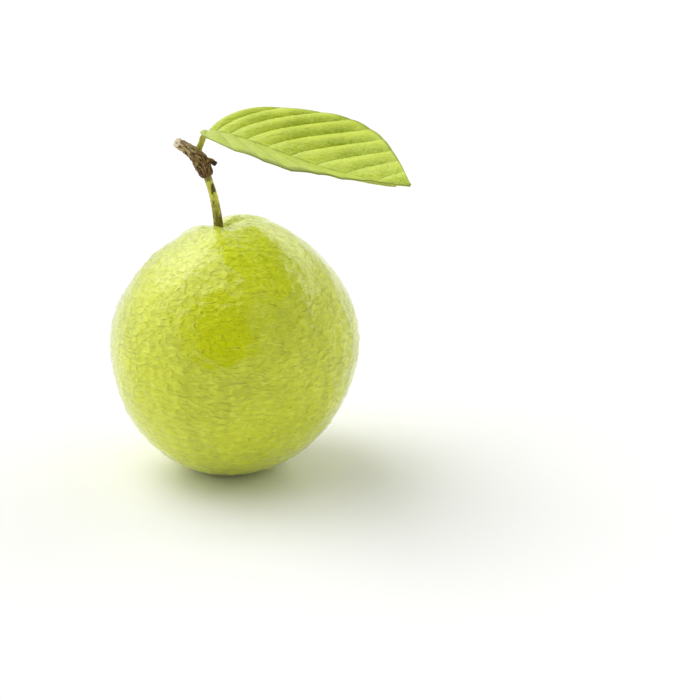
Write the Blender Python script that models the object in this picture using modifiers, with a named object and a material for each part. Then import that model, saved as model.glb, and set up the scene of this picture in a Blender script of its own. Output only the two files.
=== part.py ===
"""A whole guava as picked: fruit, calyx, green fruit stalk, a piece of woody twig and one leaf.

Metres, +Z up. The origin is the middle of the small flat spot that the fruit rests on.
The photograph looks along +Y from a little above, with +X to the right.
"""

import math

import bmesh
import bpy
from mathutils import Matrix, Vector, noise
from mathutils.geometry import interpolate_bezier

MM = 0.001
COLLECTION = "guava"
GAP = 0.3 * MM  # between one piece and the hole in the next that holds it

# Fruit: a round body, longer than it is wide, round a centre above the flat spot
CENTRE = Vector((0, 0, 49.6 * MM))
WAIST_RADIUS = 47.2 * MM
POLE_RADIUS = 50.6 * MM
POLE_SHARPNESS = 4  # how much of the extra length sits close to the poles
FRUIT_SIDES = 72
FRUIT_RINGS = 42
RING_CROWDING = 0.28  # draws rings towards both poles, where the hollows are

# Where the stalk and the calyx sit, as the slant of each from straight up and straight down
STEM_SLANT = Vector((-0.115, 0.02, 0))
CALYX_SLANT = Vector((0.42, 0.38, 0))

# Hollows at the two ends: depth, and how far out they reach along the skin
STEM_HOLLOW = 1.4 * MM
STEM_HOLLOW_REACH = 5.6 * MM
STEM_DIP = 2.0 * MM  # the wider, shallower dip round the hollow
STEM_DIP_REACH = 15 * MM
CALYX_HOLLOW = 3.6 * MM
CALYX_HOLLOW_REACH = 8.2 * MM

# Broad swells of the body: azimuth from +X, elevation, height in mm, spread in degrees
SWELLS = (
    (68, 69, 1.3, 13),  # the high lobe behind the stalk
    (154, 48, -1.7, 26),  # the flatter left shoulder
    (28, 52, -0.9, 18),  # the flatter right shoulder
    (3, 8, 0.7, 25),  # the fuller right side
    (178, 0, 0.5, 16),  # the fuller left side
    (-154, -52, 2.3, 33),  # the heavy foot on the left
    (-160, 78, 1.1, 6),  # the skin drawn up to the stalk in front
    (-90, 89.5, -2.2, 4.2),  # the pit on the stalk's right
    (-5, 74, -0.8, 9),  # the lower lip in front of the lobe on the right
    (140, 74, -1.2, 6),  # the lower skin behind the stalk on the left
    (60, 66, -0.3, 9),
)

# Furrows that run down from the stalk: azimuth, depth in mm, width in degrees, reach in degrees
FURROWS = (
    (25, 1.0, 9, 24),  # behind the lip on the right
    (103, 3.4, 12, 26),  # behind the stalk
    (-52, 1.3, 17, 48),
    (-128, 0.8, 20, 40),
    (165, 1.2, 18, 36),
)

# Uneven skin: size of the lumps and how high they stand
LUMPS = ((17 * MM, 0.55 * MM), (8 * MM, 0.22 * MM))

# Green fruit stalk, from inside the stem hollow up into the twig, with its radius at each point
STALK_POINTS = (
    (Vector((-5.2, 0.8, 90.5)) * MM, 1.9 * MM),
    (Vector((-5.3, 0.7, 96.0)) * MM, 1.85 * MM),
    (Vector((-5.8, 0.4, 102.0)) * MM, 1.68 * MM),
    (Vector((-6.8, 0.1, 108.2)) * MM, 1.55 * MM),
    (Vector((-8.1, 0.0, 113.2)) * MM, 1.45 * MM),
    (Vector((-9.3, -0.2, 117.2)) * MM, 1.4 * MM),
    (Vector((-10.2, -0.5, 119.6)) * MM, 1.4 * MM),
)
STALK_HOLE_REACH = 9.0 * MM  # from the stalk's root to well above the skin

# Woody twig: a collar round the stalk, the swollen node, and the cut end at the upper left
TWIG_POINTS = (
    (Vector((-9.1, -0.15, 116.4)) * MM, 2.25 * MM),
    (Vector((-9.8, -0.4, 118.6)) * MM, 2.75 * MM),
    (Vector((-10.9, -0.9, 121.4)) * MM, 3.05 * MM),
    (Vector((-12.5, -2.0, 124.2)) * MM, 2.55 * MM),
    (Vector((-14.6, -3.6, 126.6)) * MM, 2.15 * MM),
    (Vector((-17.0, -5.4, 128.8)) * MM, 1.85 * MM),
    (Vector((-19.3, -7.0, 130.5)) * MM, 1.75 * MM),
)
BARK_RIDGES = 7
BARK_RIDGE_HEIGHT = 0.14 * MM
NUB_POINTS = (
    (Vector((-9.9, -1.2, 122.0)) * MM, 1.3 * MM),
    (Vector((-7.4, -1.9, 122.4)) * MM, 1.0 * MM),
    (Vector((-5.5, -2.5, 121.2)) * MM, 0.75 * MM),
)

# Leaf: the rib's run from the base to the tip, as the ends and handles of one curve
RIB_BASE = Vector((-8.0, -2.0, 133.5)) * MM
RIB_BASE_HANDLE = Vector((8.0, -10.7, 135.0)) * MM
RIB_TIP_HANDLE = Vector((34.0, -24.8, 120.8)) * MM
RIB_TIP = Vector((65.4, -41.9, 123.7)) * MM
RIB_SAMPLES = 121
LEAF_WIDEST_AT = 0.54  # share of the length
LEAF_HALF_WIDTH = 27.3 * MM
LEAF_BASE_HALF_WIDTH = 1.0 * MM
LEAF_TIP_HALF_WIDTH = 0.6 * MM
LEAF_TIP_SHAPE = 1.9  # 1 is straight sides to the tip, 2 is a round end
LEAF_FOLD = math.radians(17.75)  # how far each half rises from flat
LEAF_TIP_FOLD = math.radians(7.5)  # added to that by the tip
LEAF_ROLL = math.radians(6.75)  # the leaf leans to the photograph's side
LEAF_ARCH = 0.10  # how far a half bows upwards, as a share of its width
LEAF_THICKNESS = 0.6 * MM
VEIN_PAIRS = 9
ROWS_PER_VEIN = 4
LEAF_COLUMNS = 9  # on each side of the rib
VEIN_CROWDING = 1.5  # draws the veins together at the base
VEIN_SWEEP = 0.36  # how far along the leaf a vein runs on its way to the edge
VEIN_SWEEP_SKEW = 0.55
VEIN_CURVE = 1.35  # a vein leaves the rib steeply and bends forward
QUILT_HEIGHT = 1.2 * MM  # the blade swells between its veins
EDGE_WAVE = 0.35 * MM
RIB_RADIUS = 0.95 * MM
RIB_TIP_RADIUS = 0.42 * MM
RIB_TOP = 0.05 * MM  # the rib stands out only under the blade, up to this over its middle
PETIOLE_RADIUS = 1.15 * MM
PETIOLE_POINTS = (
    Vector((-12.4, -1.4, 124.6)) * MM,
    Vector((-11.7, -1.3, 127.0)) * MM,
    Vector((-10.7, -1.2, 129.3)) * MM,
    Vector((-9.6, -1.3, 131.6)) * MM,
)

# Calyx: five dried sepals round a small disc, in the hollow at the blossom end
SEPALS = 5
SEPAL_REACH = 7.2 * MM
SEPAL_NOTCH = 4.4 * MM
CALYX_THICKNESS = 0.9 * MM
CALYX_LIFT = 0.9 * MM  # the disc's own height over the floor of the hollow
SEPAL_CURL = 1.3 * MM
CALYX_PEG_RADIUS = 1.3 * MM
CALYX_PEG_LENGTH = 3.0 * MM

TUBE_SIDES = 5  # bevel resolution of a curve, which gives twice this and two sides more


# Helpers


def clear_scene():
    for obj in list(bpy.data.objects):
        bpy.data.objects.remove(obj, do_unlink=True)


def new_collection(name):
    made = bpy.data.collections.new(name)
    bpy.context.scene.collection.children.link(made)
    return made


def make_material(name, colour, roughness):
    material = bpy.data.materials.new(name)
    material.use_nodes = True
    shader = material.node_tree.nodes["Principled BSDF"]
    shader.inputs["Base Color"].default_value = (*colour, 1)
    shader.inputs["Roughness"].default_value = roughness
    shader.inputs["Metallic"].default_value = 0
    return material


def object_from(bm, name, collection, material=None, smooth=True):
    mesh = bpy.data.meshes.new(name)
    bm.to_mesh(mesh)
    bm.free()
    if smooth:
        mesh.shade_smooth()
        mesh.set_sharp_from_angle(angle=math.radians(50))
    if material:
        mesh.materials.append(material)
    obj = bpy.data.objects.new(name, mesh)
    collection.objects.link(obj)
    return obj


def tube(points, name, collection, material=None, side_steps=TUBE_SIDES):
    """A closed round mesh along a smooth curve through (place, radius) points."""
    curve = bpy.data.curves.new(name, "CURVE")
    curve.dimensions = "3D"
    curve.bevel_depth = 1.0
    curve.bevel_resolution = side_steps
    curve.use_fill_caps = True
    spline = curve.splines.new("POLY")
    spline.points.add(len(points) - 1)
    for point, (place, radius) in zip(spline.points, points):
        point.co = (*place, 1)
        point.radius = radius
    guide = bpy.data.objects.new(name + "_guide", curve)
    collection.objects.link(guide)
    graph = bpy.context.evaluated_depsgraph_get()
    mesh = bpy.data.meshes.new_from_object(guide.evaluated_get(graph))
    bpy.data.objects.remove(guide)
    bm = bmesh.new()
    bm.from_mesh(mesh)
    bpy.data.meshes.remove(mesh)
    bmesh.ops.remove_doubles(bm, verts=bm.verts, dist=0.02 * MM)
    bmesh.ops.recalc_face_normals(bm, faces=bm.faces)
    return object_from(bm, name, collection, material)


def smoothed(points, steps):
    """(place, radius) points with more of them between, on a curve through all of them."""
    made = []
    last = len(points) - 1
    for i in range(last):
        before, start, end, after = (points[min(max(k, 0), last)] for k in (i - 1, i, i + 1, i + 2))
        handle_1 = start[0] + (end[0] - before[0]) / 6
        handle_2 = end[0] - (after[0] - start[0]) / 6
        places = interpolate_bezier(start[0], handle_1, handle_2, end[0], steps + 1)
        for step, place in enumerate(places[:-1]):
            share = step / steps
            made.append((place, start[1] * (1 - share) + end[1] * share))
    return made + [points[last]]


def boolean(obj, other, operation):
    """Applies one Boolean to obj, whose mesh is then plain again."""
    modifier = obj.modifiers.new(operation.lower(), "BOOLEAN")
    modifier.operation = operation
    modifier.solver = "EXACT"
    modifier.object = other
    graph = bpy.context.evaluated_depsgraph_get()
    mesh = bpy.data.meshes.new_from_object(obj.evaluated_get(graph))
    obj.modifiers.remove(modifier)
    old = obj.data
    obj.data = mesh
    bpy.data.meshes.remove(old)


def as_cutter(obj):
    obj.hide_render = True
    obj.display_type = "WIRE"
    return obj


# Fruit


def slanted(direction):
    """Moves the sphere's two poles to the stalk's and the calyx's places on the body."""
    up_share = ((1 + direction.z) / 2) ** 2
    down_share = ((1 - direction.z) / 2) ** 2
    return (direction + STEM_SLANT * up_share + CALYX_SLANT * down_share).normalized()


def bell(distance, spread):
    return math.exp(-((distance / spread) ** 2))


def from_angles(azimuth, elevation):
    a, e = math.radians(azimuth), math.radians(elevation)
    return Vector((math.cos(e) * math.cos(a), math.cos(e) * math.sin(a), math.sin(e)))


STEM_DIRECTION = slanted(Vector((0, 0, 1)))
CALYX_DIRECTION = slanted(Vector((0, 0, -1)))
SWELL_DIRECTIONS = [(from_angles(a, e), h * MM, math.radians(s)) for a, e, h, s in SWELLS]


def furrow_depth(direction):
    """How far the furrows that run down from the stalk draw the skin in."""
    away = direction.angle(STEM_DIRECTION, 0.0)
    side = direction - STEM_DIRECTION * direction.dot(STEM_DIRECTION)
    azimuth = math.degrees(math.atan2(side.y, side.x))
    depth = 0.0
    for angle, deep, width, reach in FURROWS:
        turn = (azimuth - angle + 180) % 360 - 180
        run = away / math.radians(reach)
        depth += deep * MM * bell(turn, width) * run * math.exp(1 - run * run) * 0.9
    return depth


def lumps(direction):
    spot = direction * WAIST_RADIUS
    return sum(noise.noise(spot / size) * height for size, height in LUMPS)


def skin_radius(direction):
    """Distance from the fruit's centre to its skin."""
    radius = WAIST_RADIUS + (POLE_RADIUS - WAIST_RADIUS) * abs(direction.z) ** POLE_SHARPNESS
    for swell, height, spread in SWELL_DIRECTIONS:
        radius += height * bell(direction.angle(swell, 0.0), spread)
    from_stem = direction.angle(STEM_DIRECTION, 0.0) * POLE_RADIUS
    from_calyx = direction.angle(CALYX_DIRECTION, 0.0) * POLE_RADIUS
    radius -= STEM_HOLLOW * bell(from_stem, STEM_HOLLOW_REACH)
    radius -= STEM_DIP * bell(from_stem, STEM_DIP_REACH)
    radius -= CALYX_HOLLOW * bell(from_calyx, CALYX_HOLLOW_REACH)
    near_end = bell(from_stem, STEM_HOLLOW_REACH) + bell(from_calyx, CALYX_HOLLOW_REACH)
    return radius - furrow_depth(direction) + lumps(direction) * (1 - min(near_end, 1))


def skin_point(direction):
    return CENTRE + direction * skin_radius(direction)


def make_fruit(collection, material):
    bm = bmesh.new()
    bmesh.ops.create_uvsphere(bm, u_segments=FRUIT_SIDES, v_segments=FRUIT_RINGS, radius=1)
    for vert in bm.verts:
        polar = math.acos(max(-1, min(1, vert.co.z)))
        crowded = polar - RING_CROWDING * math.sin(2 * polar)
        turn = math.atan2(vert.co.y, vert.co.x)
        ring = math.sin(crowded)
        spread = Vector((ring * math.cos(turn), ring * math.sin(turn), math.cos(crowded)))
        vert.co = skin_point(slanted(spread))
    everything = bm.verts[:] + bm.edges[:] + bm.faces[:]
    bmesh.ops.bisect_plane(bm, geom=everything, plane_no=(0, 0, -1), clear_outer=True)
    rim = [edge for edge in bm.edges if edge.is_boundary]
    bmesh.ops.contextual_create(bm, geom=rim)
    bmesh.ops.recalc_face_normals(bm, faces=bm.faces)
    return object_from(bm, "fruit", collection, material)


# Calyx


def calyx_frame():
    """Axes at the blossom end: the last one points out of the fruit."""
    out = CALYX_DIRECTION
    side = out.orthogonal().normalized()
    return side, out.cross(side), out


def sepal_edge(turn):
    """The rosette's reach at this angle round it, from the notches out to the sepal tips."""
    wave = 0.5 + 0.5 * math.cos(SEPALS * turn)
    return SEPAL_NOTCH + (SEPAL_REACH - SEPAL_NOTCH) * wave**0.9


def make_calyx(collection, material):
    side, other, out = calyx_frame()
    bm = bmesh.new()
    bmesh.ops.create_uvsphere(bm, u_segments=SEPALS * 10, v_segments=12, radius=1)
    for vert in bm.verts:
        turn = math.atan2(vert.co.y, vert.co.x)
        share = math.sqrt(max(0.0, 1 - vert.co.z**2))
        reach = share * sepal_edge(turn)
        flat = (side * math.cos(turn) + other * math.sin(turn)) * reach
        toward = (out * POLE_RADIUS + flat).normalized()
        thickness = CALYX_THICKNESS * (1 - 0.45 * share)
        lift = CALYX_LIFT + SEPAL_CURL * share**2 + vert.co.z * thickness / 2
        vert.co = skin_point(toward) + out * lift
    bmesh.ops.recalc_face_normals(bm, faces=bm.faces)
    rosette = object_from(bm, "calyx", collection, material)
    floor = skin_point(out)
    ends = [floor - out * CALYX_PEG_LENGTH, floor + out * CALYX_LIFT]
    peg = tube([(place, CALYX_PEG_RADIUS) for place in ends], "calyx_peg", collection)
    boolean(rosette, peg, "UNION")
    bpy.data.objects.remove(peg)
    return rosette


def calyx_hole(collection):
    out = CALYX_DIRECTION
    floor = skin_point(out)
    radius = CALYX_PEG_RADIUS + GAP
    ends = [floor - out * (CALYX_PEG_LENGTH + GAP), floor + out * CALYX_HOLLOW]
    return as_cutter(tube([(place, radius) for place in ends], "calyx_hole", collection))


# Stalk and twig


def make_stalk(collection, material):
    return tube(smoothed(STALK_POINTS, 3), "fruit_stalk", collection, material)


def stalk_hole(collection):
    """A plain hole in the floor of the stem hollow, a little wider than the stalk's root."""
    (root, radius), (above, _) = STALK_POINTS[:2]
    up = (above - root).normalized()
    ends = [root - up * GAP, root + up * STALK_HOLE_REACH]
    return as_cutter(tube([(place, radius + GAP) for place in ends], "stalk_hole", collection))


def widened(points, extra):
    return [(place, radius + extra) for place, radius in points]


def lengthened(points, by):
    """The same points with the last one pushed further along."""
    (before, _), (last, radius) = points[-2:]
    return list(points[:-1]) + [(last + (last - before).normalized() * by, radius)]


def twig_axis_at(place):
    """The twig's nearest centre point, for the direction in which bark stands out."""
    centres = [centre for centre, _ in smoothed(TWIG_POINTS, 4)]
    return min(centres, key=lambda centre: (place - centre).length)


def add_bark(obj):
    """Ridges along the twig, cut across by the rings of old scars."""
    along = (TWIG_POINTS[-1][0] - TWIG_POINTS[0][0]).normalized()
    side = along.orthogonal().normalized()
    other = along.cross(side)
    for vert in obj.data.vertices:
        out = vert.co - twig_axis_at(vert.co)
        if out.length < 1.0 * MM:
            continue
        turn = math.atan2(out.dot(other), out.dot(side))
        height = vert.co.dot(along) / MM
        ridge = math.cos(BARK_RIDGES * turn + 0.5 * height) + 0.8 * math.cos(2.6 * height)
        vert.co += out.normalized() * ridge * BARK_RIDGE_HEIGHT


def make_twig(collection, material):
    twig = tube(smoothed(TWIG_POINTS, 4), "twig", collection, material)
    add_bark(twig)
    nub = tube(smoothed(NUB_POINTS, 3), "twig_nub", collection)
    boolean(twig, nub, "UNION")
    bpy.data.objects.remove(nub)
    return twig


# Leaf


def rib_places():
    """Places along the rib at equal steps of its length, and that length."""
    fine = interpolate_bezier(RIB_BASE, RIB_BASE_HANDLE, RIB_TIP_HANDLE, RIB_TIP, 10 * RIB_SAMPLES)
    run = [0.0]
    for a, b in zip(fine, fine[1:]):
        run.append(run[-1] + (b - a).length)
    places = []
    spot = 0
    for k in range(RIB_SAMPLES):
        wanted = run[-1] * k / (RIB_SAMPLES - 1)
        while spot < len(run) - 2 and run[spot + 1] < wanted:
            spot += 1
        share = (wanted - run[spot]) / (run[spot + 1] - run[spot])
        places.append(fine[spot].lerp(fine[spot + 1], share))
    return places, run[-1]


RIB_PLACES, LEAF_LENGTH = rib_places()


def rib_at(share):
    """Place and forward direction on the rib at this share of its length."""
    spot = min(max(share, 0), 1) * (RIB_SAMPLES - 1)
    k = min(int(spot), RIB_SAMPLES - 2)
    place = RIB_PLACES[k].lerp(RIB_PLACES[k + 1], spot - k)
    before, after = RIB_PLACES[max(k - 2, 0)], RIB_PLACES[min(k + 3, RIB_SAMPLES - 1)]
    return place, (after - before).normalized()


def half_width(share):
    """The blade's half width at this share of its length, with a little left at both ends."""
    if share < LEAF_WIDEST_AT:
        shape = math.sqrt(max(0, 1 - (1 - share / LEAF_WIDEST_AT) ** 2))
        least = LEAF_BASE_HALF_WIDTH
    else:
        shape = 1 - ((share - LEAF_WIDEST_AT) / (1 - LEAF_WIDEST_AT)) ** LEAF_TIP_SHAPE
        least = LEAF_TIP_HALF_WIDTH
    return least + (LEAF_HALF_WIDTH - least) * max(0, shape)


def blade_point(row, across):
    """A point of the blade: row runs from base to tip along the veins, across from -1 to 1, near side to far side."""
    start = row**VEIN_CROWDING
    reach = start + VEIN_SWEEP * math.sin(math.pi * start**VEIN_SWEEP_SKEW)
    reach = min(max(reach, start), 1)
    out = abs(across)
    along = start + (reach - start) * out**VEIN_CURVE
    width = half_width(reach)
    place, forward = rib_at(along)
    near = forward.cross(Vector((0, 0, 1))).normalized()
    up = near.cross(forward)
    far_side = across > 0
    fold = LEAF_FOLD + LEAF_TIP_FOLD * along**2
    rise = fold + LEAF_ROLL if far_side else fold - LEAF_ROLL
    away = -near if far_side else near
    over = away * math.cos(rise) + up * math.sin(rise)
    normal = up * math.cos(rise) - away * math.sin(rise)
    beat = row * VEIN_PAIRS + (0 if far_side else 0.5)
    between_veins = abs(math.sin(math.pi * beat)) ** 0.8
    fade = math.sin(math.pi * (out * 0.8 + 0.1)) * min(1, width / LEAF_HALF_WIDTH + 0.1)
    quilt = QUILT_HEIGHT * (between_veins - 0.6) * fade
    wave = EDGE_WAVE * math.sin(2 * math.pi * (beat / 2.5 + 0.2)) * out**3
    wave *= width / LEAF_HALF_WIDTH
    bow = LEAF_ARCH * width * 4 * out * (1 - out) * 0.5
    return place + over * width * out + normal * (quilt + wave + bow)


def make_blade(collection, material):
    rows = VEIN_PAIRS * ROWS_PER_VEIN
    bm = bmesh.new()
    bmesh.ops.create_grid(bm, x_segments=rows, y_segments=2 * LEAF_COLUMNS, size=1)
    for vert in bm.verts:
        vert.co = blade_point((vert.co.x + 1) / 2, vert.co.y)
    bmesh.ops.recalc_face_normals(bm, faces=bm.faces)
    if sum(face.normal.z for face in bm.faces) < 0:
        bmesh.ops.reverse_faces(bm, faces=bm.faces)
    bmesh.ops.triangulate(bm, faces=bm.faces)
    blade = object_from(bm, "leaf", collection, material)
    shell = blade.modifiers.new("thickness", "SOLIDIFY")
    shell.thickness = LEAF_THICKNESS
    shell.offset = 0
    graph = bpy.context.evaluated_depsgraph_get()
    solid = bpy.data.meshes.new_from_object(blade.evaluated_get(graph))
    blade.modifiers.remove(shell)
    blade.data = solid
    return blade


def petiole_and_rib():
    """The leaf's stalk and the rib under its blade, as one run of (place, radius) points."""
    stalk = [(place, PETIOLE_RADIUS) for place in PETIOLE_POINTS]
    rib = []
    for share in (0.012, 0.05, 0.12, 0.22, 0.34, 0.46, 0.58, 0.7, 0.81, 0.9, 0.965):
        place, forward = rib_at(share)
        near = forward.cross(Vector((0, 0, 1))).normalized()
        radius = RIB_RADIUS + (RIB_TIP_RADIUS - RIB_RADIUS) * share
        rib.append((place - near.cross(forward) * (radius - RIB_TOP), radius))
    return smoothed(stalk + rib, 3)


def make_leaf(collection, material):
    leaf = make_blade(collection, material)
    rib = tube(petiole_and_rib(), "leaf_rib", collection, side_steps=3)
    boolean(leaf, rib, "UNION")
    bpy.data.objects.remove(rib)
    return leaf


# Assembly


def main():
    clear_scene()
    parts = new_collection(COLLECTION)
    cutters = new_collection(COLLECTION + "_cutters")
    skin = make_material("guava_skin", (0.46, 0.56, 0.06), 0.38)
    dried = make_material("dried_sepal", (0.13, 0.07, 0.03), 0.8)
    green = make_material("green_stalk", (0.30, 0.33, 0.06), 0.55)
    bark = make_material("twig_bark", (0.16, 0.09, 0.05), 0.85)
    blade = make_material("leaf_blade", (0.36, 0.52, 0.07), 0.5)

    fruit = make_fruit(parts, skin)
    for hole in (stalk_hole(cutters), calyx_hole(cutters)):
        boolean(fruit, hole, "DIFFERENCE")
    make_calyx(parts, dried)
    make_stalk(parts, green)
    twig = make_twig(parts, bark)
    make_leaf(parts, blade)

    stalk_top = lengthened(smoothed(STALK_POINTS, 3), GAP)
    socket = tube(widened(stalk_top[-10:], GAP), "stalk_socket", cutters)
    boolean(twig, as_cutter(socket), "DIFFERENCE")
    petiole_foot = [(place, PETIOLE_RADIUS + GAP) for place in PETIOLE_POINTS[::-1]]
    socket = tube(lengthened(petiole_foot, GAP), "petiole_socket", cutters)
    boolean(twig, as_cutter(socket), "DIFFERENCE")


main()
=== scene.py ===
"""A whole guava with its calyx, stalk, twig and leaf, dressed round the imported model.

Metres, +Z up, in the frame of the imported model. The fruit stands on the origin, and the
photograph looks along +Y.
"""

import math

import bpy
from mathutils import Euler, Matrix, Vector
from mathutils.geometry import interpolate_bezier


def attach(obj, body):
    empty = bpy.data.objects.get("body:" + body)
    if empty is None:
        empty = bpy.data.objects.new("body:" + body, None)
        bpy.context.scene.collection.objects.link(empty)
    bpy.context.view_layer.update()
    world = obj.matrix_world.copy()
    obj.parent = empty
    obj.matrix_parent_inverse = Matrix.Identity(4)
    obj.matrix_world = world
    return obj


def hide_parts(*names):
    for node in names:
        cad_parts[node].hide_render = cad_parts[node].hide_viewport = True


bl_info = {
    "name": "Whole guava",
    "version": (1, 0, 0),
    "blender": (4, 5, 0),
    "location": "View3D > Sidebar > Guava",
    "description": "Builds a whole guava with its calyx, stalk, twig and leaf",
    "category": "Add Mesh",
}

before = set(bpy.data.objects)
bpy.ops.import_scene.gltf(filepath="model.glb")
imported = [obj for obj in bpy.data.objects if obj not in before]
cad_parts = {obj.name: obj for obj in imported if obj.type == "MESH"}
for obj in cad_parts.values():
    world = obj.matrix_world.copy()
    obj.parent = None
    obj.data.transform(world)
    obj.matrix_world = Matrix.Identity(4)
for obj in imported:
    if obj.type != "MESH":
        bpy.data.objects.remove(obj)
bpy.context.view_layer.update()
BODY = "root"
MM = 0.001
# Short straight runs that a tube's path has between two of its points
PATH_STEPS = 8

# Fruit: shared with the solid. Angles are in degrees, heights and depths in mm
FRUIT_SEGMENTS = 400
FRUIT_RINGS = 236
RING_CROWDING = 0.28
POLE_SHARPNESS = 4
STEM_SLANT = Vector((-0.115, 0.02, 0))
CALYX_SLANT = Vector((0.42, 0.38, 0))
STEM_HOLLOW_REACH = 5.6 * MM
STEM_DIP_REACH = 15 * MM
CALYX_HOLLOW_REACH = 8.2 * MM
# Each swell's azimuth, elevation, height and spread
SWELLS = (
    (68, 69, 1.3, 13),
    (154, 48, -1.7, 26),
    (28, 52, -0.9, 18),
    (3, 8, 0.7, 25),
    (178, 0, 0.5, 16),
    (-154, -52, 2.3, 33),
    (-160, 78, 1.1, 6),
    (-90, 89.5, -2.2, 4.2),
    (-5, 74, -0.8, 9),
    (140, 74, -1.2, 6),
    (60, 66, -0.3, 9),
)
# Each furrow's azimuth, depth, width and reach
FURROWS = (
    (25, 1.0, 9, 24),
    (103, 3.4, 12, 26),
    (-52, 1.3, 17, 48),
    (-128, 0.8, 20, 40),
    (165, 1.2, 18, 36),
)
# Fine creases in the skin round the stalk, in the furrows' terms
CREASES = (
    (45, 0.85, 4.0, 17),
    (-18, 0.25, 5, 13),
    (-75, 0.3, 5, 15),
    (128, 0.35, 5, 14),
    (-150, 0.3, 5, 12),
)

# Stalk, twig and nub: places in mm and radii in mm, shared with the solid
STALK_POINTS = (
    ((-5.2, 0.8, 90.5), 1.9),
    ((-5.3, 0.7, 96.0), 1.85),
    ((-5.8, 0.4, 102.0), 1.68),
    ((-6.8, 0.1, 108.2), 1.55),
    ((-8.1, 0.0, 113.2), 1.45),
    ((-9.3, -0.2, 117.2), 1.4),
    ((-10.2, -0.5, 119.6), 1.4),
)
TWIG_POINTS = (
    ((-9.1, -0.15, 116.4), 2.25),
    ((-9.8, -0.4, 118.6), 2.75),
    ((-10.9, -0.9, 121.4), 3.05),
    ((-12.5, -2.0, 124.2), 2.55),
    ((-14.6, -3.6, 126.6), 2.15),
    ((-17.0, -5.4, 128.8), 1.85),
    ((-19.3, -7.0, 130.5), 1.75),
)
NUB_POINTS = (
    ((-9.9, -1.2, 122.0), 1.3),
    ((-7.4, -1.9, 122.4), 1.0),
    ((-5.5, -2.5, 121.2), 0.75),
)
PETIOLE_POINTS = (
    ((-12.4, -1.4, 124.6), 1.25),
    ((-11.7, -1.3, 127.0), 1.15),
    ((-10.7, -1.2, 129.3), 1.1),
    ((-9.6, -1.3, 131.6), 1.15),
)

# Leaf: the rib's run and the blade's form, shared with the solid
RIB_BASE = Vector((-8.0, -2.0, 133.5)) * MM
RIB_BASE_HANDLE = Vector((8.0, -10.7, 135.0)) * MM
RIB_TIP_HANDLE = Vector((34.0, -24.8, 120.8)) * MM
RIB_TIP = Vector((65.4, -41.9, 123.7)) * MM
LEAF_WIDEST_AT = 0.54
LEAF_BASE_HALF_WIDTH = 1.0 * MM
LEAF_TIP_HALF_WIDTH = 0.6 * MM
LEAF_TIP_SHAPE = 1.9
LEAF_TIP_FOLD = math.radians(7.5)
LEAF_ROLL = math.radians(6.75)
LEAF_ARCH = 0.10
VEIN_CROWDING = 1.5
VEIN_SWEEP = 0.36
VEIN_SWEEP_SKEW = 0.55
VEIN_CURVE = 1.35
EDGE_WAVE = 0.35 * MM
LEAF_ROWS = 300
LEAF_COLUMNS = 150
LEAF_MAP_LENGTH = 93 * MM
VEIN_PAIRS = 9
VEIN_POINTS = 40
BLADE_THICKNESS = 0.5 * MM
RIB_RADIUS = 0.95 * MM
RIB_TIP_RADIUS = 0.42 * MM
RIB_TOP = 0.05 * MM
RIB_STEPS = 120
# Where the rib's tube has its points, as shares of the rib
RIB_SHARES = (0.03, 0.06, 0.12, 0.22, 0.34, 0.46, 0.58, 0.7, 0.81, 0.88, 0.93)

# Marks: where the stalk's bruise is, and where the front of the fruit is painted a stronger green
# for the dark room it reflects
BRUISE_PLACE = Vector((-6.8, -1.2, 112.0)) * MM
DARK_REFLECTION_PLACE = Vector((-4.0, -43.0, 68.0)) * MM

# Calyx: its disc and its dry style, over the blossom hollow's own floor, in the stalk's terms
DISC_POINTS = (
    ((0.0, 0.0, -0.6), 2.9),
    ((0.0, 0.0, 0.2), 2.7),
    ((0.0, 0.0, 0.8), 2.2),
    ((0.0, 0.0, 1.3), 1.1),
)
STYLE_POINTS = (
    ((0.0, 0.0, 0.9), 0.55),
    ((0.15, 0.05, 2.0), 0.45),
    ((0.5, 0.2, 2.9), 0.3),
)
SEPALS = 5
SEPAL_THICKNESS = 0.45 * MM

# Floor: half its side, in metres
FLOOR_HALF = 5.0

# Camera: where the photograph was taken from
CAMERA_PLACE = Vector((44.275, -704.238, 303.364)) * MM
CAMERA_TILT = math.radians(70)
CAMERA_LENS = 100


def linear(red, green, blue):
    """A colour given as 0 to 255 display values, as the four numbers that a node takes."""
    values = []
    for value in (red, green, blue):
        share = value / 255
        values.append(share / 12.92 if share <= 0.04045 else ((share + 0.055) / 1.055) ** 2.4)
    return (*values, 1.0)


def is_arrow(value):
    """Whether a value, or what a wire carries, is a vector."""
    if isinstance(value, Wire):
        return value.socket.type == "VECTOR"
    return isinstance(value, (tuple, Vector))


def operator(operation, turned=False):
    """One of a wire's operators: it adds the node that joins the wire with the other value."""

    def method(self, other):
        return self.graph.joined(operation, *((other, self) if turned else (self, other)))

    return method


class Wire:
    """One node's output. Sums written with it add Math nodes, or Vector Math nodes for vectors."""

    __add__, __radd__ = operator("ADD"), operator("ADD", True)
    __sub__, __rsub__ = operator("SUBTRACT"), operator("SUBTRACT", True)
    __mul__, __rmul__ = operator("MULTIPLY"), operator("MULTIPLY", True)
    __truediv__, __rtruediv__ = operator("DIVIDE"), operator("DIVIDE", True)
    __pow__ = operator("POWER")

    def __init__(self, graph, socket):
        self.graph = graph
        self.socket = socket

    def out(self, name):
        return Wire(self.graph, self.socket.node.outputs[name])


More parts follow.
